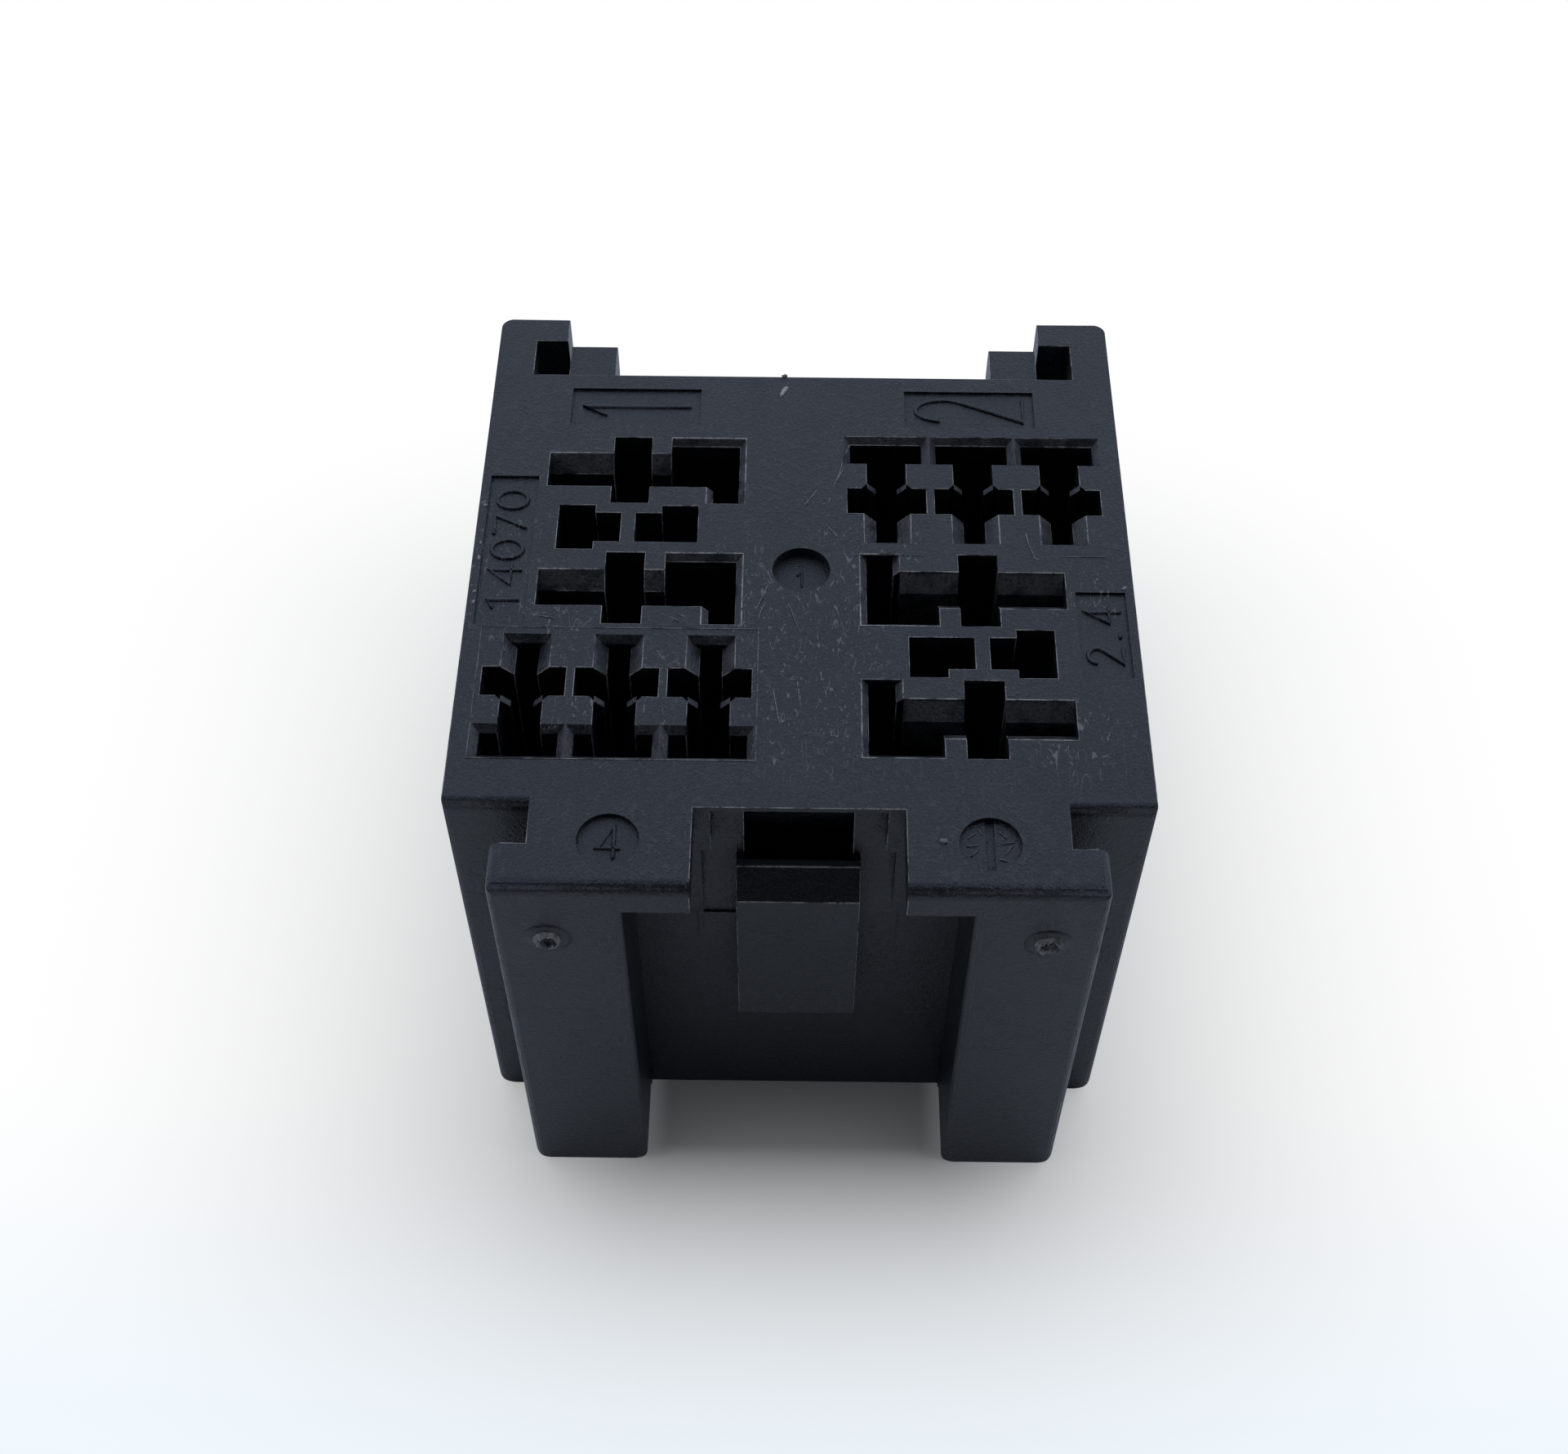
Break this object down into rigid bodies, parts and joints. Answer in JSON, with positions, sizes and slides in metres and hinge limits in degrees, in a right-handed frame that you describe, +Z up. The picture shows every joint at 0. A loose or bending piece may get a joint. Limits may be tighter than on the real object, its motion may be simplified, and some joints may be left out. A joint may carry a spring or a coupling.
{
  "type": "relay socket",
  "caption": "Moulded black relay socket: keyed terminal cavities on top, two relay bays below, T rails in front and C channels behind.",
  "frame": {"origin": "middle of the foot, at the centre of the outer box over rails and channels", "axes": "+Z up from the rim of the relay bays to the terminal face, +Y towards the rear channels, rails towards -Y"},
  "size_m": [0.04, 0.0448, 0.0333],
  "materials": {
    "black_nylon": "satin moulded nylon with a fine grain"
  },
  "bodies": {
    "root": {"housing": "black_nylon"}
  },
  "joints": []
}
